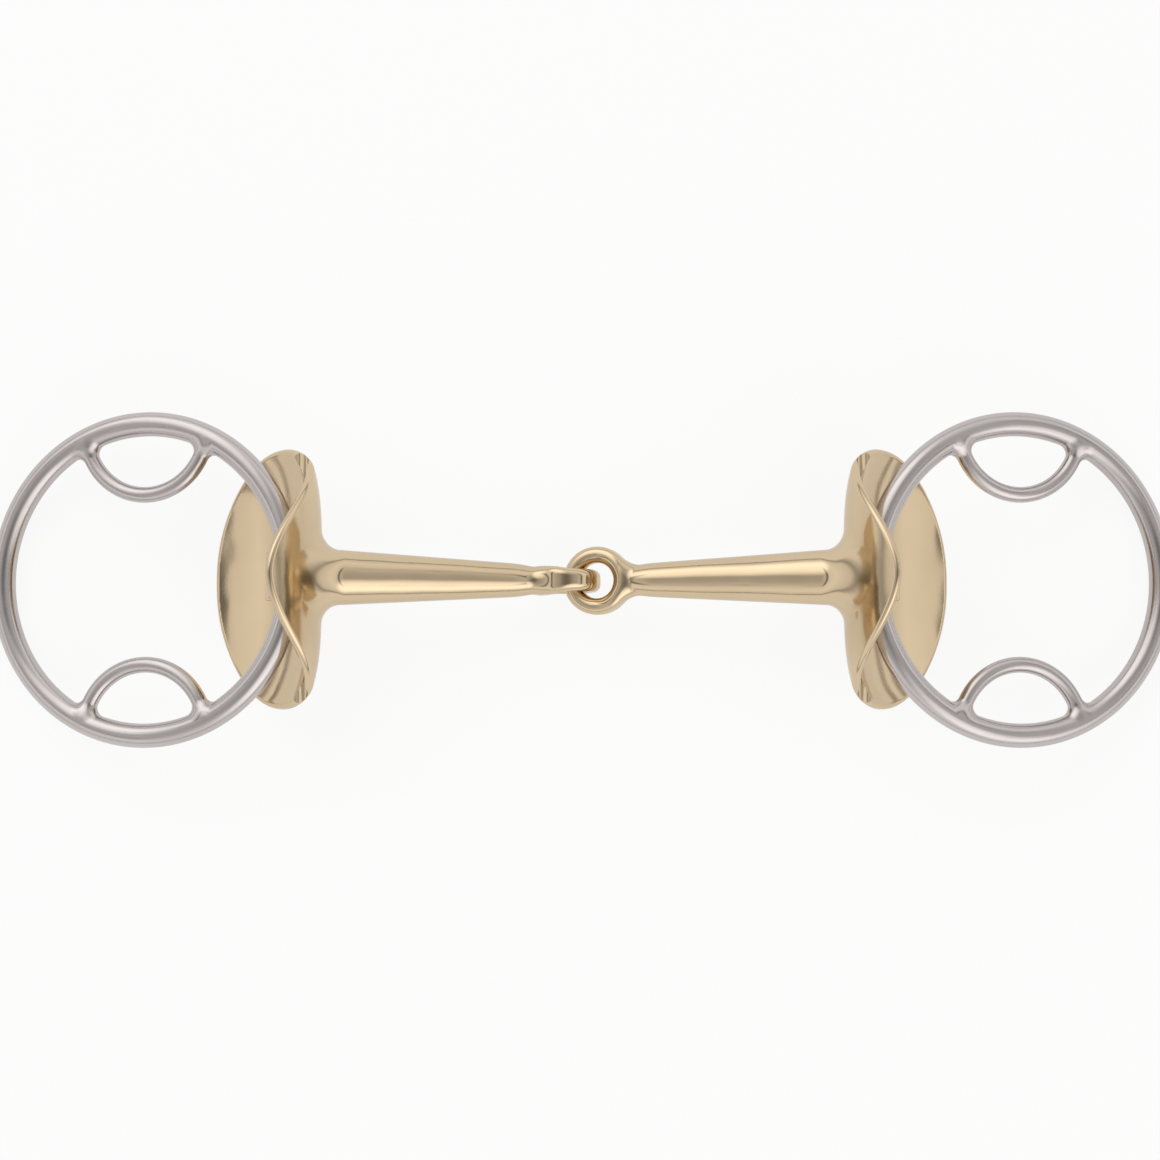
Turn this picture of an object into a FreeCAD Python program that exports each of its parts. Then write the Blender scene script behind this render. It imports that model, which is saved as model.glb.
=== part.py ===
"""Loose-ring snaffle bit with winged cheeks and a strap loop at the top and bottom of each ring.

Two castings meet in a pair of crossed eyes. Each casting is parted at two flat planes into an eye,
a cannon (the tapered bar) and a wing. A steel ring runs through a sleeve in each wing's bore.

Frame: X along the mouthpiece, Y along the bore axes, Z up. The bit lies on the plane Z = 0 on the
left eye, the back rims of the wings and the far sides of the rings.

Every casting is built in its own arm frame: the origin at its eye, x along the bar to the wing,
y along the bore and z across both, towards the wing's front flap.
"""

import FreeCAD, Part
import Sketcher
from FreeCAD import Placement, Rotation, Vector

import math
import os

DRIVING = [
    # centre joint
    ("eye_outer_radius", 8.45),
    ("eye_hole_radius", 4.4),
    ("eye_thickness", 5.6),
    ("eye_offset", 1.45),
    # cannon
    ("bore_distance", 69.4),
    ("cannon_neck_dia", 7.6),
    ("cannon_root_dia", 14.2),
    ("root_fillet", 4.5),
    ("cannon_start", 12.0),
    ("wing_start_before_bore", 17.4),
    # wing
    ("wing_half_height", 32.4),
    ("wing_middle", -9.5),
    ("wing_front_reach", 26.5),
    ("wing_back_reach", 20.4),
    ("sheet_thickness", 2.3),
    ("rim_fillet", 0.9),
    ("trough_depth", 6.4),
    ("trough_end_rise", 4.5),
    ("front_flare", 0.0547),
    ("back_flare", 0.02256),
    # bore, sleeve and ring
    ("wire_dia", 6.0),
    ("ring_radius", 38.5),
    ("sleeve_wall", 1.2),
    ("sleeve_length", 12.0),
    ("boss_wall", 1.75),
    ("running_clearance", 0.05),
    # strap loops
    ("loop_wire_dia", 3.9),
    ("loop_radius", 16.2),
    ("loop_centre", 37.2),
]

# powers of the wing's oval outline in front of and behind its widest place
FRONT_ROUNDNESS = 1.8
BACK_ROUNDNESS = 2.3
# rounding of the eye's edges as a share of the width of its wire
EYE_ROUNDING_SHARE = 0.46
# the bar's seam with the wing is no longer than this many bar diameters across
LONGEST_SEAM = 2.5
OUTLINE_STEPS = 24
SURFACE_STEPS = 20
SURFACE_MARGIN = 3.0
TESSELLATION = 0.02
STEEPEST_TILT = 45.0
TILT_STEPS = 30
BORE_RADIUS = "Sizes.wire_dia / 2 + Sizes.sleeve_wall + 2 * Sizes.running_clearance"

doc = FreeCAD.newDocument("snaffle_bit")
sheet = doc.addObject("Spreadsheet::Sheet", "Sizes")
for row, (alias, value) in enumerate(DRIVING, start=1):
    sheet.set("A%d" % row, alias)
    sheet.set("B%d" % row, str(value))
    sheet.setAlias("B%d" % row, alias)
doc.recompute()


def size(alias):
    """A driving size as a plain number."""
    return float(sheet.get(alias))


def bind(obj, **expressions):
    """Tie properties of an object to the spreadsheet."""
    for name, text in expressions.items():
        obj.setExpression(name, text)
    return obj


def cylinder(name, radius, height, placement):
    """A cylinder with bound sizes."""
    obj = doc.addObject("Part::Cylinder", name)
    bind(obj, Radius=radius, Height=height)
    obj.Placement = placement
    return obj


def torus(name, radius, section, placement):
    """A torus with bound sizes."""
    obj = doc.addObject("Part::Torus", name)
    bind(obj, Radius1=radius, Radius2=section)
    obj.Placement = placement
    return obj


def feature(name, shape):
    """A free shape that no primitive gives."""
    obj = doc.addObject("Part::Feature", name)
    obj.Shape = shape
    return obj


def boolean(kind, name, base, tool):
    """Base minus tool, or the part that both share."""
    obj = doc.addObject("Part::" + kind, name)
    obj.Base = base
    obj.Tool = tool
    return obj


def trough_height(v, w):
    """Middle surface of the wing's sheet: its place along the bar, measured from the bore axis."""
    flare = size("front_flare") if w > 0 else size("back_flare")
    end_rise = size("trough_end_rise") * (v / size("wing_half_height")) ** 4
    return -size("trough_depth") + end_rise + flare * w * w


def sheet_point(v, w, offset):
    """A point of the sheet, moved along the surface's normal."""
    flare = size("front_flare") if w > 0 else size("back_flare")
    slope_v = 4 * size("trough_end_rise") * v**3 / size("wing_half_height") ** 4
    normal = Vector(1, -slope_v, -2 * flare * w)
    normal.normalize()
    return Vector(trough_height(v, w), v, w) + normal * offset


def sheet_surface(offset):
    """One side of the sheet as a smooth surface that reaches past the outline."""
    half = size("wing_half_height") + SURFACE_MARGIN
    low = size("wing_middle") - size("wing_back_reach") - SURFACE_MARGIN
    high = size("wing_middle") + size("wing_front_reach") + SURFACE_MARGIN
    grid = []
    for i in range(SURFACE_STEPS + 1):
        v = half * (2 * i / SURFACE_STEPS - 1)
        row = []
        for j in range(SURFACE_STEPS + 1):
            row.append(sheet_point(v, low + (high - low) * j / SURFACE_STEPS, offset))
        grid.append(row)
    surface = Part.BSplineSurface()
    surface.interpolate(grid)
    return surface.toShape()


def outline_prism():
    """The wing's oval outline, seen along the bar, as a solid prism."""
    half = size("wing_half_height")
    points = []
    for i in range(2 * OUTLINE_STEPS):
        angle = math.pi * i / OUTLINE_STEPS
        front = math.sin(angle) >= 0
        power = 2 / (FRONT_ROUNDNESS if front else BACK_ROUNDNESS)
        reach = size("wing_front_reach") if front else size("wing_back_reach")
        v = half * math.copysign(abs(math.cos(angle)) ** power, math.cos(angle))
        w = size("wing_middle") + reach * math.copysign(abs(math.sin(angle)) ** power, math.sin(angle))
        points.append(Vector(-3 * size("wing_half_height"), v, w))
    curve = Part.BSplineCurve()
    curve.interpolate(points, PeriodicFlag=True)
    face = Part.Face(Part.Wire(curve.toShape()))
    return face.extrude(Vector(6 * size("wing_half_height"), 0, 0))


def wing_sheet():
    """The wing's curved sheet of even thickness with rounded rims, about the bore axis."""
    half_thickness = size("sheet_thickness") / 2
    inner = sheet_surface(-half_thickness)
    outer = sheet_surface(half_thickness)
    sides = []
    for inner_edge, outer_edge in zip(inner.Edges, outer.Edges):
        sides.append(Part.makeRuledSurface(inner_edge, outer_edge))
    shell = Part.makeShell([inner, outer] + sides)
    shell.sewShape()
    slab = Part.Solid(shell)
    if slab.Volume < 0:
        slab.reverse()
    plate = slab.common(outline_prism()).Solids[0]
    return plate.makeFillet(size("rim_fillet"), plate.Edges)


def tapered_bar(plate):
    """The round bar, from inside the eye's wall to the middle of the sheet, joined to it by a fillet."""
    start = eye_middle_radius()
    neck = size("cannon_neck_dia") / 2
    root = size("cannon_root_dia") / 2
    root_place = size("bore_distance") - size("trough_depth")
    taper = (root - neck) / (root_place - start)
    length = root_place + root - start
    cone = Part.makeCone(neck, neck + taper * length, length, Vector(start, 0, 0), Vector(1, 0, 0))
    middle = sheet_surface(0)
    middle.translate(Vector(size("bore_distance"), 0, 0))
    cone = cone.common(middle.extrude(Vector(-2 * size("bore_distance"), 0, 0)))
    joined = cone.fuse(plate)
    seam = []
    for edge in joined.Edges:
        box = edge.BoundBox
        on_root = abs(box.Center.x - root_place) < root and abs(box.Center.y) < root
        if on_root and box.DiagonalLength < LONGEST_SEAM * size("cannon_root_dia"):
            seam.append(edge)
    return joined.makeFillet(size("root_fillet"), seam)


def eye_middle_radius():
    """Radius of the eye's wire at its middle."""
    return (size("eye_outer_radius") + size("eye_hole_radius")) / 2


def eye_body(side):
    """The eye as a flat ring with rounded edges, in its own plane XY."""
    body = doc.addObject("PartDesign::Body", side + "_eye_ring")
    planes = {plane.Role: plane for plane in body.Origin.OriginFeatures}
    sketch = body.newObject("Sketcher::SketchObject", side + "_eye_sketch")
    sketch.AttachmentSupport = [(planes["XY_Plane"], "")]
    sketch.MapMode = "FlatFace"
    for index, (name, radius) in enumerate((("outer", "eye_outer_radius"), ("hole", "eye_hole_radius"))):
        sketch.addGeometry(Part.Circle(Vector(0, 0, 0), Vector(0, 0, 1), size(radius)), False)
        sketch.addConstraint(Sketcher.Constraint("Coincident", index, 3, -1, 1))
        sketch.addConstraint(Sketcher.Constraint("Radius", index, size(radius)))
        sketch.renameConstraint(2 * index + 1, name)
        sketch.setExpression("Constraints." + name, "Sizes." + radius)
    pad = body.newObject("PartDesign::Pad", side + "_eye_pad")
    pad.Profile = sketch
    pad.Midplane = True
    bind(pad, Length="Sizes.eye_thickness")
    doc.recompute()
    rounding = body.newObject("PartDesign::Fillet", side + "_eye_rounding")
    rims = ["Edge%d" % number for number, edge in enumerate(pad.Shape.Edges, start=1) if edge.Closed]
    rounding.Base = (pad, rims)
    bind(rounding, Radius="%g * (Sizes.eye_outer_radius - Sizes.eye_hole_radius)" % EYE_ROUNDING_SHARE)
    body.Tip = rounding
    return body


def casting(side, eye_rotation, plate):
    """One mouthpiece half in its arm frame: eye, tapered bar, wing and bored boss."""
    eye = eye_body(side)
    eye.Placement = Placement(Vector(0, 0, 0), eye_rotation)
    bar_and_sheet = feature(side + "_bar_and_sheet", tapered_bar(plate))
    along_bore = Placement(
        Vector(size("bore_distance"), -size("sleeve_length") / 2, 0), Rotation(Vector(1, 0, 0), -90)
    )
    boss = cylinder(side + "_boss", BORE_RADIUS + " + Sizes.boss_wall", "Sizes.sleeve_length", along_bore)
    bore = cylinder(side + "_bore", BORE_RADIUS, "Sizes.sleeve_length", along_bore)
    whole = doc.addObject("Part::MultiFuse", side + "_whole")
    whole.Shapes = [bar_and_sheet, eye, boss]
    return boolean("Cut", side + "_casting", whole, bore)


def stretch(name, start, end):
    """A block that takes in all of a casting between two planes across the bar."""
    block = doc.addObject("Part::Box", name)
    across = "4 * Sizes.bore_distance"
    bind(block, Length=end + " - (" + start + ")", Width=across, Height=across)
    half = 2 * size("bore_distance")
    block.Placement = Placement(Vector(0, -half, -half), Rotation())
    block.setExpression("Placement.Base.x", start)
    return block


def cast_nodes(side, whole):
    """The casting parted into its eye, cannon and wing."""
    wing_start = "Sizes.bore_distance - Sizes.wing_start_before_bore"
    spans = (
        ("eye", "-2 * Sizes.eye_outer_radius", "Sizes.cannon_start"),
        ("cannon", "Sizes.cannon_start", wing_start),
        ("wing", wing_start, "2 * Sizes.bore_distance"),
    )
    nodes = []
    for name, start, end in spans:
        block = stretch(side + "_" + name + "_block", start, end)
        nodes.append(boolean("Common", side + "_" + name, whole, block))
    return nodes


def ring_nodes(side, up_sign):
    """Sleeve, ring and its two strap loops, with the bore at the origin and the ring's centre on x."""
    centre = Placement(Vector(size("ring_radius"), 0, 0), Rotation())
    ring = torus(side + "_ring", "Sizes.ring_radius", "Sizes.wire_dia / 2", centre)
    channel = torus(
        side + "_channel", "Sizes.ring_radius", "Sizes.wire_dia / 2 + Sizes.running_clearance", centre
    )
    sleeve = cylinder(
        side + "_sleeve",
        "Sizes.wire_dia / 2 + Sizes.running_clearance + Sizes.sleeve_wall",
        "Sizes.sleeve_length",
        Placement(Vector(0, -size("sleeve_length") / 2, 0), Rotation(Vector(1, 0, 0), -90)),
    )
    ring_form = torus(side + "_ring_form", "Sizes.ring_radius", "Sizes.wire_dia / 2", centre)
    nodes = [boolean("Cut", side + "_bush", sleeve, channel), ring]
    foot_cosine = (size("ring_radius") ** 2 - size("loop_radius") ** 2 - size("loop_centre") ** 2) / (
        2 * size("loop_radius") * size("loop_centre")
    )
    half_sweep = 180 - math.degrees(math.acos(foot_cosine))
    for name, up in (("upper_loop", up_sign), ("lower_loop", -up_sign)):
        arc = doc.addObject("Part::Torus", side + "_" + name + "_arc")
        bind(arc, Radius1="Sizes.loop_radius", Radius2="Sizes.loop_wire_dia / 2")
        arc.Angle3 = 2 * half_sweep
        arc.Placement = Placement(
            Vector(size("ring_radius"), up * size("loop_centre"), 0),
            Rotation(Vector(0, 0, 1), -90 * up - half_sweep),
        )
        nodes.append(boolean("Cut", side + "_" + name, arc, ring_form))
    return nodes


def rest_tilt(plate, eye_lift):
    """Tilt of an arm, in degrees, that sets its wing's back rim on the plane that the left eye lies on.

    The arm's own eye lies higher than the left eye by eye_lift times the sine of the tilt.
    """
    points = plate.tessellate(TESSELLATION)[0]
    low, high = 0.0, STEEPEST_TILT
    for _ in range(TILT_STEPS):
        tilt = (low + high) / 2
        sine, cosine = math.sin(math.radians(tilt)), math.cos(math.radians(tilt))
        lowest = min(point.x * sine + point.z * cosine for point in points) + eye_lift * sine
        if lowest + size("eye_outer_radius") > 0:
            high = tilt
        else:
            low = tilt
    return high


def place(nodes, placement):
    """Move finished nodes from their own frame to where they lie."""
    for node in nodes:
        node.Placement = placement.multiply(node.Placement)


plate = wing_sheet()
plate.translate(Vector(size("bore_distance"), 0, 0))


class Side:
    """Where one half of the bit lies: the tilt of its arm, the slope of its ring and their places."""

    def __init__(self, name, turn, up_sign, eye_rotation, eye_lift):
        self.name = name
        self.up_sign = up_sign
        self.eye_rotation = eye_rotation
        self.turned = Placement(Vector(0, 0, 0), Rotation(Vector(0, 0, 1), turn))
        self.tilt = rest_tilt(plate, eye_lift)
        tilt = math.radians(self.tilt)
        self.eye_height = size("eye_outer_radius") + eye_lift * math.sin(tilt)
        self.bore_reach = size("bore_distance") * math.cos(tilt)
        self.bore_height = self.eye_height + size("bore_distance") * math.sin(tilt)
        slope = math.asin((self.bore_height - size("wire_dia") / 2) / (2 * size("ring_radius")))
        self.ring_slope = math.degrees(slope)
        self.reach = self.bore_reach + 2 * size("ring_radius") * math.cos(slope) + size("wire_dia") / 2

    def build(self, eye_place):
        """The nodes of this half, with its eye's centre eye_place out from the middle of the bit."""
        arm = cast_nodes(self.name, casting(self.name, self.eye_rotation, plate))
        threaded = ring_nodes(self.name, self.up_sign)
        doc.recompute()
        arm_rotation = Rotation(Vector(0, 1, 0), -self.tilt)
        arm_place = Placement(Vector(eye_place, 0, self.eye_height), arm_rotation)
        ring_rotation = Rotation(Vector(0, 1, 0), self.ring_slope)
        ring_place = Placement(Vector(eye_place + self.bore_reach, 0, self.bore_height), ring_rotation)
        place(arm, self.turned.multiply(arm_place))
        place(threaded, self.turned.multiply(ring_place))
        print(
            "%-5s tilt %.3f slope %.3f deg, eye x %.3f z %.3f, bore x %.3f z %.3f mm"
            % (
                self.name, self.tilt, self.ring_slope, eye_place, self.eye_height,
                eye_place + self.bore_reach, self.bore_height,
            )
        )
        return arm + threaded


# the left eye stands upright on the plane, and the right eye's wire hangs in its hole
left = Side("left", 180, -1, Rotation(Vector(1, 0, 0), 90), 0)
right = Side("right", 0, 1, Rotation(), eye_middle_radius())
eye_distance = size("eye_offset") + eye_middle_radius() * math.cos(math.radians(right.tilt))
left_eye_place = (right.reach - left.reach + eye_distance) / 2
exported = left.build(left_eye_place) + right.build(eye_distance - left_eye_place)
doc.recompute()

for obj in doc.Objects:
    if "Invalid" in obj.State or "Error" in obj.State:
        raise RuntimeError("%s failed to build: %s" % (obj.Label, obj.State))
os.makedirs("parts", exist_ok=True)
for node in exported:
    shape = node.Shape
    if shape.isNull() or not shape.isValid() or len(shape.Solids) != 1:
        raise RuntimeError("%s is not one valid solid" % node.Label)
    shape.exportStep("parts/%s.step" % node.Label)
    box = shape.optimalBoundingBox()
    print(
        "%-18s volume %8.1f  x %7.2f %7.2f  y %6.2f %6.2f  z %6.2f %6.2f"
        % (node.Label, shape.Volume, box.XMin, box.XMax, box.YMin, box.YMax, box.ZMin, box.ZMax)
    )
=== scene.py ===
"""Looks of the snaffle bit: polished cast copper alloy, polished steel rings, a pale studio."""

import math

import bpy
import numpy as np
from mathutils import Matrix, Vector


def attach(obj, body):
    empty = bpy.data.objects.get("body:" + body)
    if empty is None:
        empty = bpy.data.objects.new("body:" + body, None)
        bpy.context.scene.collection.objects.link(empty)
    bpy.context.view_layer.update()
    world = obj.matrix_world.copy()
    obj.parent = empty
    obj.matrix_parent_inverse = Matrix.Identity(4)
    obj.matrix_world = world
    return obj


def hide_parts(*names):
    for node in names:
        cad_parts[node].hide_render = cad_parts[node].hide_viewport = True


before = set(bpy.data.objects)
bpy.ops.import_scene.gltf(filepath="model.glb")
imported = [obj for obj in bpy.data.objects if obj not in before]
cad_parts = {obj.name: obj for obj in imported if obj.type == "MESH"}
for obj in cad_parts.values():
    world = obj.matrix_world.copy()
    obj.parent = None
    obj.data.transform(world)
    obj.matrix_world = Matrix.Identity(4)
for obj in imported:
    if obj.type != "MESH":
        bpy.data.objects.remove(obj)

MM = 0.001

# sculpting: voxels in metres, then how a fused mesh is drawn onto its smooth surface, in mm
CASTING_VOXEL = 0.00036
RING_VOXEL = 0.00032
DRAW_TURNS = 10
SMOOTH_TURNS = 7
SMOOTHING = 0.5
LONGEST_MOVE = 0.6
LEAST_STEEPNESS = 0.05
GRADIENT_STEP = 0.01
OUTLINE_STEP = 0.05
FOOT_TURNS = 3
TINY = 1e-6
TINIEST = 1e-12

# camera: high above the bit, leaning a little to the near side
CAMERA_ELEVATION = 86.5
CAMERA_DISTANCE = 0.90
CAMERA_TARGET = Vector((-0.0006, -0.0003, 0.018))
FRAME_WIDTH = 0.2852
SENSOR = 36.0
NEAREST = 0.01

# colours, linear
ALLOY_COLOUR = (0.72, 0.575, 0.385, 1.0)
STEEL_COLOUR = (0.60, 0.56, 0.55, 1.0)
SLEEVE_COLOUR = (0.50, 0.50, 0.52, 1.0)
FLOOR_COLOUR = (0.86, 0.86, 0.86, 1.0)
WHITE = (1.0, 1.0, 1.0, 1.0)
FLOOR_HALF_WIDTH = 3.0
FLOOR_ROUGHNESS = 0.9
# share of the floor's own white that the camera sees, and that the metal mirrors
FLOOR_GLOW = 0.88
MIRRORED_GLOW = 0.45

# metals: roughness, strength and scale of the hand-polished waves, strength of the polishing marks
ALLOY_FINISH = (0.09, 0.40, 70.0, 0.25)
STEEL_FINISH = (0.20, 0.12, 80.0, 0.35)
SLEEVE_FINISH = (0.30, 0.05, 60.0, 0.5)
HAZE_SCALE = 90.0
HAZE_DETAIL = 5.0
HAZE_ROUGHNESS = 0.6
TINT_SCALE = 35.0
FINE_DETAIL = 3.0
NOISE_LOW = 0.3
NOISE_HIGH = 0.7
SHINIEST = 0.7
DULLEST = 1.4
DARK_TINT = 0.93
WAVE_HEIGHT = 0.001
MARK_HEIGHT = 0.00002
MARK_SCALES = (180.0, 2600.0, 2600.0)

# the tent's brightness by the height of the direction, from the horizon to straight up: a dim strip
# where the table's far edge is, and a dim opening overhead for the camera
TENT = (
    (0.0, 0.75), (0.03, 0.62), (0.07, 0.30), (0.12, 0.80), (0.35, 0.98),
    (0.60, 0.84), (0.80, 0.56), (0.93, 0.44), (0.975, 0.28), (1.0, 0.20),
)
# slightly warm, by channel
TENT_TINT = (("Red", 1.0), ("Green", 0.985), ("Blue", 0.97))
# a dark seam crosses the tent's two ends: how dark it is by height, and how far towards an end it
# starts and is full
SEAM = ((0.0, 0.0), (0.56, 0.0), (0.60, 0.75), (0.64, 0.75), (0.69, 0.0), (1.0, 0.0))
SEAM_STARTS = 0.40
SEAM_FULL = 0.70
# soft bright places in the tent, where the lamps are: direction and strength
GLOWS = (((-0.40, 0.62, 0.675), 0.75), ((0.42, -0.62, 0.665), 0.75))
GLOW_SPREAD = 0.82
# softboxes: place and power
SOFTBOX_WIDTH = 1.0
SOFTBOX_HEIGHT = 0.7
SOFTBOXES = (("key", (-0.5, 0.9, 0.9), 3.2), ("fill", (0.6, -0.9, 0.7), 2.0))

# the castings, in mm, in a frame with its origin at the eye, x along the bar, z to the front flap;
# the eye's place is its distance from the middle and its height, and tilts are in degrees
LEFT_EYE = (3.944, 8.450)
LEFT_TILT = 14.569
RIGHT_EYE = (3.752, 9.957)
RIGHT_TILT = 13.567
EYE_HOLE = 4.4
EYE_MIDDLE = 6.425
EYE_HALF_WIDTH = 2.025
EYE_HALF_THICKNESS = 2.8
EYE_THICKENING = 0.75
EYE_ROUNDING = 1.95
BAR_NECK_AT = 6.425
BAR_NECK = 3.8
BAR_ROOT_AT = 63.0
BAR_ROOT = 7.1
BAR_WAIST_AT = 15.0
BAR_NARROWING = 0.9
NARROWING_ENDS = 1.3
BAR_END_AT = 5.6
BAR_END_ROUNDING = 1.2
TROUGH_AT = 63.0
TROUGH_END_RISE = 4.5
WING_HALF_HEIGHT = 32.4
WING_MIDDLE = -9.5
FRONT_REACH = 26.5
BACK_REACH = 20.4
FRONT_ROUNDNESS = 1.8
BACK_ROUNDNESS = 2.3
FRONT_FLARE = 0.0547
BACK_FLARE = 0.02256
SHEET = 2.3
RIM_ROUNDING = 1.12
RIM_INSET = 0.50
BORE_AT = 69.4
BORE = 4.3
BOSS = 6.05
BOSS_HALF_LENGTH = 6.0
BOSS_ROUNDING = 0.6
ROOT_FILLET = 4.5
UPPER_FILLET = 6.0
FILLET_GROWS_OVER = 8.0
EYE_FILLET = 3.5
EYE_FACE_FILLET = 1.2
BOSS_FILLET = 1.4

# the rings, in mm, in a frame with its origin at the bore, x to the ring's centre
LEFT_BORE = (71.112, 25.907)
LEFT_SLOPE = 17.307
RIGHT_BORE = (71.216, 26.237)
RIGHT_SLOPE = 17.565
RING_RADIUS = 38.5
RING_WIRE = 3.0
LOOP_CENTRE = 37.2
LOOP_RADIUS = 16.2
LOOP_WIRE = 1.95
WELD_FILLET = 2.4
# cuts each loop's arc short, so that its wire ends inside the ring's
FOOT_CUT = 0.095


def node(tree, kind, **values):
    """A new shader node with some of its inputs or settings given."""
    made = tree.nodes.new(kind)
    for name, value in values.items():
        if hasattr(made, name):
            setattr(made, name, value)
        else:
            made.inputs[name.replace("_", " ")].default_value = value
    return made


def metal(name, colour, finish):
    """Polished metal: hazy patches, fine polishing marks and the slight waves of hand finishing."""
    roughness, waviness, wave_scale, marking = finish
    material = bpy.data.materials.new(name)
    material.use_nodes = True
    tree = material.node_tree
    link = tree.links.new
    shader = tree.nodes["Principled BSDF"]
    shader.inputs["Metallic"].default_value = 1.0
    place = node(tree, "ShaderNodeTexCoord")

    haze = node(tree, "ShaderNodeTexNoise", Scale=HAZE_SCALE, Detail=HAZE_DETAIL)
    haze.inputs["Roughness"].default_value = HAZE_ROUGHNESS
    link(place.outputs["Object"], haze.inputs["Vector"])
    rough = node(tree, "ShaderNodeMapRange")
    rough.inputs["From Min"].default_value = NOISE_LOW
    rough.inputs["From Max"].default_value = NOISE_HIGH
    rough.inputs["To Min"].default_value = roughness * SHINIEST
    rough.inputs["To Max"].default_value = roughness * DULLEST
    link(haze.outputs["Fac"], rough.inputs["Value"])
    link(rough.outputs["Result"], shader.inputs["Roughness"])

    tint = node(tree, "ShaderNodeTexNoise", Scale=TINT_SCALE, Detail=FINE_DETAIL)
    link(place.outputs["Object"], tint.inputs["Vector"])
    ramp = node(tree, "ShaderNodeValToRGB")
    dark, light = ramp.color_ramp.elements
    dark.position = NOISE_LOW
    dark.color = tuple(channel * DARK_TINT for channel in colour[:3]) + (1.0,)
    light.position = NOISE_HIGH
    light.color = colour
    link(tint.outputs["Fac"], ramp.inputs["Fac"])
    link(ramp.outputs["Color"], shader.inputs["Base Color"])

    wave = node(tree, "ShaderNodeTexNoise", Scale=wave_scale, Detail=1.0)
    link(place.outputs["Object"], wave.inputs["Vector"])
    wave_bump = node(tree, "ShaderNodeBump", Strength=waviness, Distance=WAVE_HEIGHT)
    link(wave.outputs["Fac"], wave_bump.inputs["Height"])
    stretch = node(tree, "ShaderNodeMapping")
    stretch.inputs["Scale"].default_value = MARK_SCALES
    link(place.outputs["Object"], stretch.inputs["Vector"])
    marks = node(tree, "ShaderNodeTexNoise", Scale=1.0, Detail=FINE_DETAIL)
    link(stretch.outputs["Vector"], marks.inputs["Vector"])
    marks_bump = node(tree, "ShaderNodeBump", Strength=marking, Distance=MARK_HEIGHT)
    link(marks.outputs["Fac"], marks_bump.inputs["Height"])
    link(wave_bump.outputs["Normal"], marks_bump.inputs["Normal"])
    link(marks_bump.outputs["Normal"], shader.inputs["Normal"])
    return material


def floor_material():
    """A pale floor with the bit's soft shadow, which the camera sees as nearly white."""
    material = bpy.data.materials.new("floor")
    material.use_nodes = True
    tree = material.node_tree
    link = tree.links.new
    shader = tree.nodes["Principled BSDF"]
    shader.inputs["Base Color"].default_value = FLOOR_COLOUR
    shader.inputs["Roughness"].default_value = FLOOR_ROUGHNESS
    glow = node(tree, "ShaderNodeEmission", Color=WHITE, Strength=1.0)
    path = node(tree, "ShaderNodeLightPath")
    mirrored = node(tree, "ShaderNodeMath", operation="ADD", use_clamp=True)
    link(path.outputs["Is Transmission Ray"], mirrored.inputs[0])
    link(path.outputs["Is Glossy Ray"], mirrored.inputs[1])
    dimmed = node(tree, "ShaderNodeMath", operation="MULTIPLY")
    dimmed.inputs[1].default_value = MIRRORED_GLOW
    link(mirrored.outputs["Value"], dimmed.inputs[0])
    share = node(tree, "ShaderNodeMath", operation="MULTIPLY_ADD", use_clamp=True)
    share.inputs[1].default_value = FLOOR_GLOW
    link(path.outputs["Is Camera Ray"], share.inputs[0])
    link(dimmed.outputs["Value"], share.inputs[2])
    mix = node(tree, "ShaderNodeMixShader")
    link(share.outputs["Value"], mix.inputs["Fac"])
    link(shader.outputs["BSDF"], mix.inputs[1])
    link(glow.outputs["Emission"], mix.inputs[2])
    link(mix.outputs["Shader"], tree.nodes["Material Output"].inputs["Surface"])
    return material


def length(*parts):
    """Length of vectors given by their components."""
    return np.sqrt(sum(part * part for part in parts))


def round_union(a, b, radius):
    """Union of two distance fields with a round fillet between them."""
    blend = np.maximum(radius, np.minimum(a, b))
    return blend - length(np.maximum(radius - a, 0.0), np.maximum(radius - b, 0.0))


def rounded(a, b, radius):
    """Intersection of two distance fields with a rounded edge."""
    a = a + radius
    b = b + radius
    return np.minimum(np.maximum(a, b), 0.0) + length(np.maximum(a, 0.0), np.maximum(b, 0.0)) - radius


def eased(share):
    """A smooth step from 0 to 1."""
    share = np.clip(share, 0.0, 1.0)
    return share * share * (3.0 - 2.0 * share)


def sheet_height(y, z):
    """The wing's middle surface and its slopes."""
    flare = np.where(z > 0.0, FRONT_FLARE, BACK_FLARE)
    reach = y / WING_HALF_HEIGHT
    height = TROUGH_AT + TROUGH_END_RISE * reach ** 4 + flare * z * z
    return height, 4.0 * TROUGH_END_RISE * reach ** 3 / WING_HALF_HEIGHT, 2.0 * flare * z


def outline(y, z):
    """How far past the wing's outline a point of the sheet is: 0 on it, negative inside."""
    front = z > WING_MIDDLE
    power = np.where(front, FRONT_ROUNDNESS, BACK_ROUNDNESS)
    reach = np.where(front, FRONT_REACH, BACK_REACH)
    across = np.abs(y) / WING_HALF_HEIGHT
    along = np.abs(z - WING_MIDDLE) / reach
    return (across ** power + along ** power + TINIEST) ** (1.0 / power) - 1.0


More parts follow.
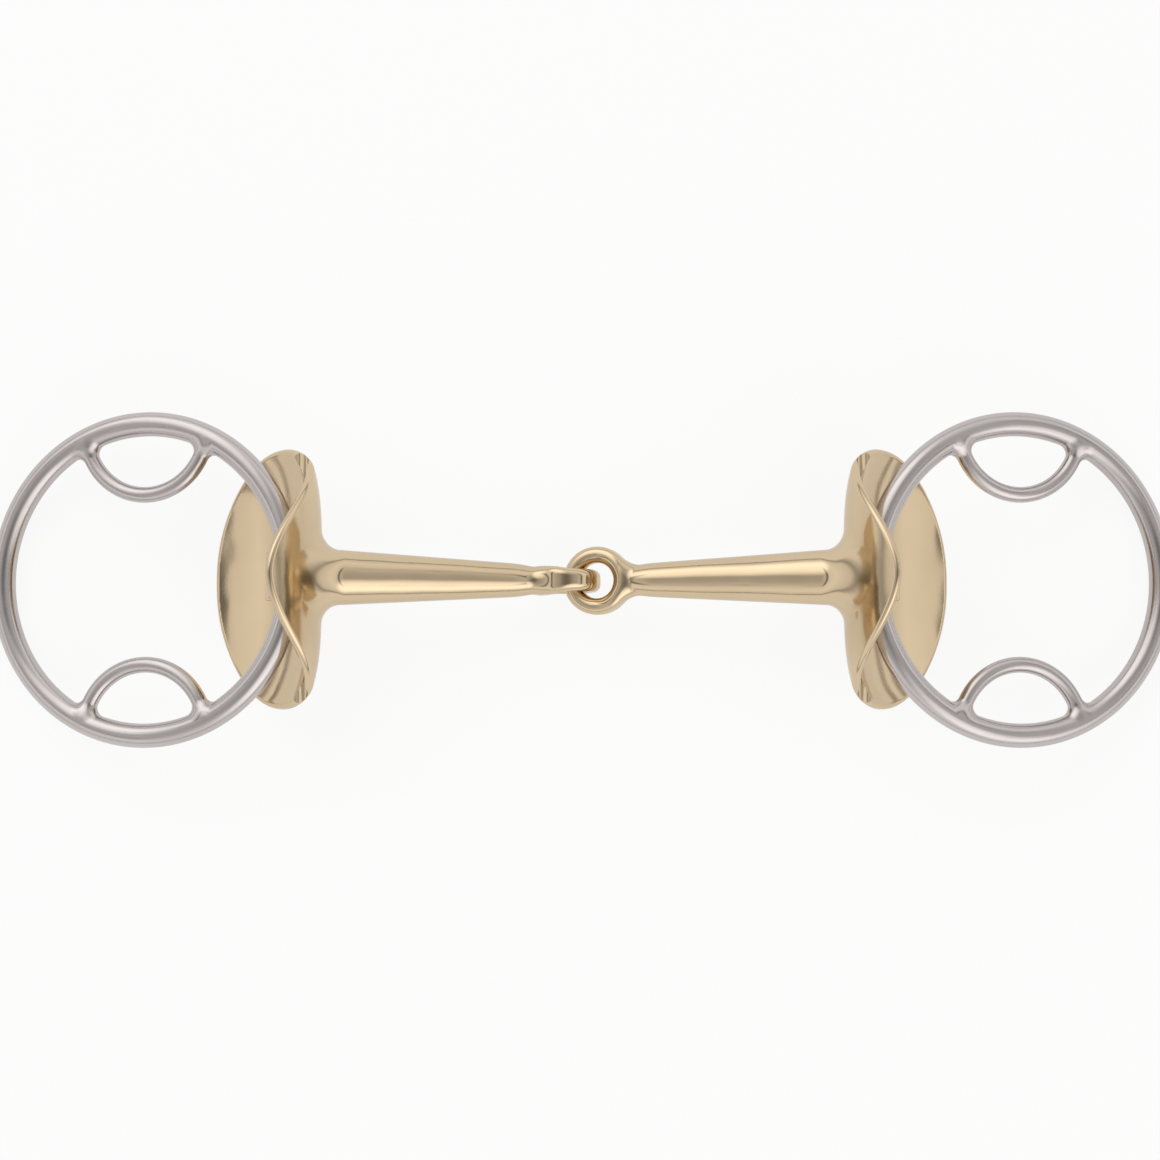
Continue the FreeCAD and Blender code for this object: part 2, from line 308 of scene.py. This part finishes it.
def wing_field(x, y, z):
    """The curled sheet with its round rim, and how far a point is in front of its middle surface."""
    foot_y = y
    foot_z = z
    for _ in range(FOOT_TURNS):
        height, slope_y, slope_z = sheet_height(foot_y, foot_z)
        steep = 1.0 + slope_y ** 2 + slope_z ** 2
        gap = (x - height + slope_y * (foot_y - y) + slope_z * (foot_z - z)) / steep
        foot_y = y + gap * slope_y
        foot_z = z + gap * slope_z
    height, slope_y, slope_z = sheet_height(foot_y, foot_z)
    offset = np.sign(x - height) * length(x - height, y - foot_y, z - foot_z)
    step = OUTLINE_STEP
    past = outline(foot_y, foot_z)
    grow_y = (outline(foot_y + step, foot_z) - outline(foot_y - step, foot_z)) / (2.0 * step)
    grow_z = (outline(foot_y, foot_z + step) - outline(foot_y, foot_z - step)) / (2.0 * step)
    steep = 1.0 + slope_y ** 2 + slope_z ** 2
    along = (grow_y * slope_y + grow_z * slope_z) ** 2 / steep
    growth = np.sqrt(np.maximum(grow_y ** 2 + grow_z ** 2 - along, TINY))
    return rounded(np.abs(offset) - SHEET / 2.0, past / growth + RIM_INSET, RIM_ROUNDING), offset


def casting_field(points, eye_axis):
    """Distance field of one mouthpiece half in its own frame."""
    x, y, z = points.T
    wing, offset = wing_field(x, y, z)

    lean = (BAR_ROOT - BAR_NECK) / (BAR_ROOT_AT - BAR_NECK_AT)
    across = length(y, z)
    near_eye = np.clip((BAR_WAIST_AT - x) / (BAR_WAIST_AT - BAR_NECK_AT), 0.0, NARROWING_ENDS)
    cone = across - BAR_NECK - lean * (x - BAR_NECK_AT) + BAR_NARROWING * near_eye ** 2
    bar = rounded(cone / math.hypot(1.0, lean), BAR_END_AT - x, BAR_END_ROUNDING)
    bar = np.maximum(bar, offset)

    if eye_axis == "y":
        around, off, beside = length(x, z), np.abs(y), np.abs(z)
    else:
        around, off, beside = length(x, y), np.abs(z), np.abs(y)
    half_thickness = EYE_HALF_THICKNESS + EYE_THICKENING * eased(x / EYE_MIDDLE)
    eye = rounded(np.abs(around - EYE_MIDDLE) - EYE_HALF_WIDTH, off - half_thickness, EYE_ROUNDING)

    share = beside ** 2 / (beside ** 2 + off ** 2 + TINY)
    field = round_union(bar, eye, EYE_FACE_FILLET + (EYE_FILLET - EYE_FACE_FILLET) * share)
    field = np.maximum(field, EYE_HOLE - around)
    # the bar's root has a fillet on the sheet's near side only
    inner = np.clip((SHEET / 2.0 - offset) / SHEET, 0.0, 1.0)
    fillet = ROOT_FILLET + (UPPER_FILLET - ROOT_FILLET) * eased(z / FILLET_GROWS_OVER)
    field = round_union(field, wing, np.maximum(fillet * inner, TINY))

    tube = length(x - BORE_AT, z)
    boss = rounded(tube - BOSS, np.abs(y) - BOSS_HALF_LENGTH, BOSS_ROUNDING)
    field = round_union(field, boss, BOSS_FILLET)
    return np.maximum(field, BORE - tube)


def ring_field(points):
    """Distance field of one cheek ring with its two welded loops in its own frame."""
    x, y, z = points.T
    x = x - RING_RADIUS
    ring = length(length(x, y) - RING_RADIUS, z) - RING_WIRE
    y = np.abs(y) - LOOP_CENTRE
    angle = np.arctan2(x, -y)
    foot = math.acos(LOOP_RADIUS / 2.0 / LOOP_CENTRE + FOOT_CUT)
    near = np.clip(angle, -foot, foot)
    loop = length(x - LOOP_RADIUS * np.sin(near), y + LOOP_RADIUS * np.cos(near), z) - LOOP_WIRE
    return round_union(ring, loop, WELD_FILLET)


def placement(origin, turn_down, turned):
    """Rotation and origin of a local frame: x leans down, and a left frame is turned about Z."""
    angle = math.radians(turn_down)
    lean = np.array([
        [math.cos(angle), 0.0, math.sin(angle)],
        [0.0, 1.0, 0.0],
        [-math.sin(angle), 0.0, math.cos(angle)],
    ])
    start = np.array([origin[0], 0.0, origin[1]])
    if turned:
        half_turn = np.diag([-1.0, -1.0, 1.0])
        return half_turn @ lean, half_turn @ start
    return lean, start


def gradient(field, points):
    """Gradient of a distance field, and its value."""
    slopes = np.empty_like(points)
    for axis in range(3):
        shift = np.zeros(3)
        shift[axis] = GRADIENT_STEP
        slopes[:, axis] = (field(points + shift) - field(points - shift)) / (2.0 * GRADIENT_STEP)
    return slopes, field(points)


def fuse(name, nodes, voxel):
    """A new object: the nodes' solids fused into one mesh."""
    verts, faces = [], []
    for node_name in nodes:
        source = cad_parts[node_name].data
        base = len(verts)
        verts.extend(vert.co[:] for vert in source.vertices)
        faces.extend([base + index for index in face.vertices] for face in source.polygons)
    mesh = bpy.data.meshes.new(name)
    mesh.from_pydata(verts, [], faces)
    piece = bpy.data.objects.new(name, mesh)
    bpy.context.scene.collection.objects.link(piece)
    remesh = piece.modifiers.new("fuse", "REMESH")
    remesh.mode = "VOXEL"
    remesh.voxel_size = voxel
    evaluated = piece.evaluated_get(bpy.context.evaluated_depsgraph_get())
    fused = bpy.data.meshes.new_from_object(evaluated)
    piece.modifiers.clear()
    piece.data = fused
    bpy.data.meshes.remove(mesh)
    fused.name = name
    return piece


def draw_onto(mesh, field, frame_at):
    """Move a mesh's points onto the surface where a field is 0, and take the normals from the field."""
    rotation, start = frame_at
    count = len(mesh.vertices)
    points = np.empty(count * 3)
    mesh.vertices.foreach_get("co", points)
    points = (points.reshape(-1, 3) / MM - start) @ rotation
    edges = np.empty(len(mesh.edges) * 2, dtype=np.int64)
    mesh.edges.foreach_get("vertices", edges)
    first, second = edges.reshape(-1, 2).T
    degree = np.bincount(edges, minlength=count)[:, None]
    for turn in range(DRAW_TURNS):
        if turn < SMOOTH_TURNS:
            total = np.zeros_like(points)
            for axis in range(3):
                total[:, axis] = np.bincount(first, points[second, axis], count)
                total[:, axis] += np.bincount(second, points[first, axis], count)
            points += SMOOTHING * (total / degree - points)
        slopes, value = gradient(field, points)
        steep = np.maximum((slopes ** 2).sum(axis=1), LEAST_STEEPNESS)
        points -= (np.clip(value, -LONGEST_MOVE, LONGEST_MOVE) / steep)[:, None] * slopes
    slopes, _ = gradient(field, points)
    world = (points @ rotation.T + start) * MM
    mesh.vertices.foreach_set("co", world.ravel())
    mesh.update()
    for face in mesh.polygons:
        face.use_smooth = True
    normals = slopes @ rotation.T
    normals /= np.linalg.norm(normals, axis=1)[:, None]
    mesh.normals_split_custom_set_from_vertices(normals)


def sculpt(name, nodes, body, material, field, frame_at, voxel):
    """One seamless piece that stands for several nodes of a body."""
    piece = fuse(name, nodes, voxel)
    draw_onto(piece.data, field, frame_at)
    piece.data.materials.clear()
    piece.data.materials.append(material)
    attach(piece, body)
    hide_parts(*nodes)


def dress(name, material):
    """Give a CAD node its material."""
    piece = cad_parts[name]
    piece.data.materials.clear()
    piece.data.materials.append(material)


def ramp_of(tree, value, stops):
    """A brightness that follows a value through the given stops."""
    ramp = node(tree, "ShaderNodeValToRGB")
    elements = ramp.color_ramp.elements
    elements[0].position, first = stops[0]
    elements[0].color = (first, first, first, 1.0)
    elements[1].position, last = stops[-1]
    elements[1].color = (last, last, last, 1.0)
    for position, level in stops[1:-1]:
        elements.new(position).color = (level, level, level, 1.0)
    tree.links.new(value, ramp.inputs["Fac"])
    return ramp.outputs["Color"]


def softbox(name, place, power):
    """A rectangular lamp that faces the middle of the bit."""
    data = bpy.data.lights.new(name, "AREA")
    data.shape = "RECTANGLE"
    data.size = SOFTBOX_WIDTH
    data.size_y = SOFTBOX_HEIGHT
    data.energy = power
    lamp = bpy.data.objects.new(name, data)
    # the metal mirrors the tent's soft glows, not the lamps' hard edges
    lamp.visible_glossy = False
    lamp.location = place
    lamp.rotation_euler = (-Vector(place)).to_track_quat("-Z", "Y").to_euler()
    bpy.context.scene.collection.objects.link(lamp)


def floor_plane():
    """The plain floor that the bit lies on."""
    mesh = bpy.data.meshes.new("floor")
    half = FLOOR_HALF_WIDTH
    rim = [(-half, -half, 0), (half, -half, 0), (half, half, 0), (-half, half, 0)]
    mesh.from_pydata(rim, [], [(0, 1, 2, 3)])
    floor = bpy.data.objects.new("floor", mesh)
    mesh.materials.append(floor_material())
    bpy.context.scene.collection.objects.link(floor)


def tent_world():
    """A pale tent that lights the bit and shows in the metal; the camera sees plain white behind it."""
    world = bpy.data.worlds.new("studio")
    bpy.context.scene.world = world
    world.use_nodes = True
    tree = world.node_tree
    link = tree.links.new
    place = node(tree, "ShaderNodeTexCoord")
    split = node(tree, "ShaderNodeSeparateXYZ")
    link(place.outputs["Generated"], split.inputs["Vector"])
    level = ramp_of(tree, split.outputs["Z"], TENT)
    seam = ramp_of(tree, split.outputs["Z"], SEAM)
    sideways = node(tree, "ShaderNodeMath", operation="ABSOLUTE")
    link(split.outputs["X"], sideways.inputs[0])
    at_end = node(tree, "ShaderNodeMapRange", interpolation_type="SMOOTHSTEP")
    at_end.inputs["From Min"].default_value = SEAM_STARTS
    at_end.inputs["From Max"].default_value = SEAM_FULL
    link(sideways.outputs["Value"], at_end.inputs["Value"])
    dimming = node(tree, "ShaderNodeMath", operation="MULTIPLY")
    link(seam, dimming.inputs[0])
    link(at_end.outputs["Result"], dimming.inputs[1])
    kept = node(tree, "ShaderNodeMath", operation="SUBTRACT")
    kept.inputs[0].default_value = 1.0
    link(dimming.outputs["Value"], kept.inputs[1])
    tent = node(tree, "ShaderNodeMath", operation="MULTIPLY")
    link(level, tent.inputs[0])
    link(kept.outputs["Value"], tent.inputs[1])
    total = tent.outputs["Value"]
    for direction, strength in GLOWS:
        toward = node(tree, "ShaderNodeVectorMath", operation="DOT_PRODUCT")
        link(place.outputs["Generated"], toward.inputs[0])
        toward.inputs[1].default_value = direction
        spot = node(tree, "ShaderNodeMapRange", interpolation_type="SMOOTHSTEP")
        spot.inputs["From Min"].default_value = GLOW_SPREAD
        spot.inputs["To Max"].default_value = strength
        link(toward.outputs["Value"], spot.inputs["Value"])
        summed = node(tree, "ShaderNodeMath", operation="ADD")
        link(total, summed.inputs[0])
        link(spot.outputs["Result"], summed.inputs[1])
        total = summed.outputs["Value"]
    warm = node(tree, "ShaderNodeCombineColor")
    for channel, share in TENT_TINT:
        scaled = node(tree, "ShaderNodeMath", operation="MULTIPLY")
        scaled.inputs[1].default_value = share
        link(total, scaled.inputs[0])
        link(scaled.outputs["Value"], warm.inputs[channel])
    path = node(tree, "ShaderNodeLightPath")
    seen = node(tree, "ShaderNodeMix", data_type="RGBA")
    link(path.outputs["Is Camera Ray"], seen.inputs["Factor"])
    link(warm.outputs["Color"], seen.inputs["A"])
    seen.inputs["B"].default_value = WHITE
    link(seen.outputs["Result"], tree.nodes["Background"].inputs["Color"])


def camera():
    """The camera at the photograph's angle."""
    data = bpy.data.cameras.new("camera")
    data.sensor_width = SENSOR
    data.lens = SENSOR * CAMERA_DISTANCE / FRAME_WIDTH
    data.clip_start = NEAREST
    shot = bpy.data.objects.new("camera", data)
    lean = math.radians(CAMERA_ELEVATION)
    shot.location = CAMERA_TARGET + CAMERA_DISTANCE * Vector((0, -math.cos(lean), math.sin(lean)))
    shot.rotation_euler = (math.radians(90) - lean, 0, 0)
    bpy.context.scene.collection.objects.link(shot)
    bpy.context.scene.camera = shot


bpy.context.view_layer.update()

alloy = metal("cast_alloy", ALLOY_COLOUR, ALLOY_FINISH)
steel = metal("ring_steel", STEEL_COLOUR, STEEL_FINISH)
sleeve = metal("sleeve_steel", SLEEVE_COLOUR, SLEEVE_FINISH)

dress("left_bush", sleeve)
dress("right_bush", sleeve)

for side, origin, tilt, field in (
    ("left_", LEFT_EYE, LEFT_TILT, lambda points: casting_field(points, "y")),
    ("right_", RIGHT_EYE, RIGHT_TILT, lambda points: casting_field(points, "z")),
):
    nodes = [side + "eye", side + "cannon", side + "wing"]
    frame_at = placement(origin, -tilt, side == "left_")
    name = side + "mouthpiece_half"
    sculpt(name, nodes, side + "arm", alloy, field, frame_at, CASTING_VOXEL)

for side, origin, slope in (("left_", LEFT_BORE, LEFT_SLOPE), ("right_", RIGHT_BORE, RIGHT_SLOPE)):
    nodes = [side + "ring", side + "upper_loop", side + "lower_loop"]
    frame_at = placement(origin, slope, side == "left_")
    name = side + "ring_with_loops"
    sculpt(name, nodes, side + "cheek_ring", steel, ring_field, frame_at, RING_VOXEL)

floor_plane()
tent_world()
for name, place, power in SOFTBOXES:
    softbox(name, place, power)
camera()
bpy.context.scene.view_settings.view_transform = "Standard"
